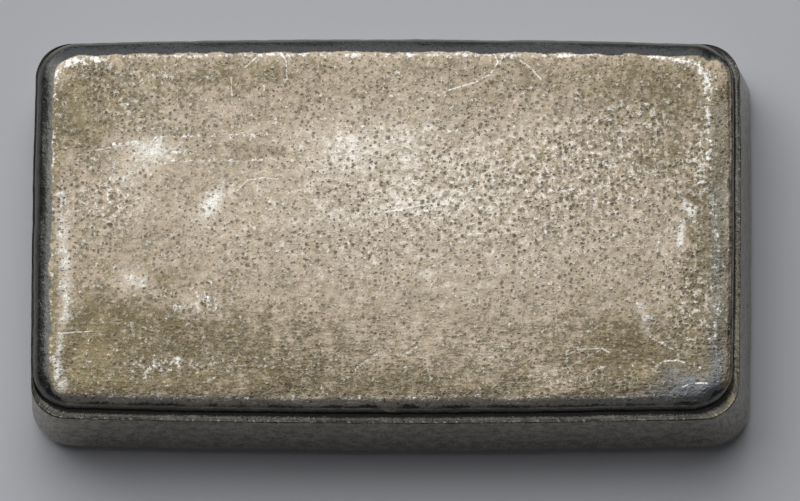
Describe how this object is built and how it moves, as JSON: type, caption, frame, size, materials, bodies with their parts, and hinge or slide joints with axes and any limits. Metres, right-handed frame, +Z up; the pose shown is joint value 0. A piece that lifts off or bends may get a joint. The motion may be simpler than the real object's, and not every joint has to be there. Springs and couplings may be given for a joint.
{
  "type": "silver bar",
  "caption": "Cast silver bar, oblong with round corners and slightly bowed sides, a worn and pitted flat face, and dark tarnished walls.",
  "frame": {"origin": "centre of the outline, on the plane that the bar rests on", "axes": "+X along the bar, +Y across it, +Z up, out of the flat face that shows"},
  "size_m": [0.0836, 0.0476, 0.013],
  "materials": {
    "silver": "satin"
  },
  "bodies": {
    "root": {"silver_bar": "silver"}
  },
  "joints": []
}
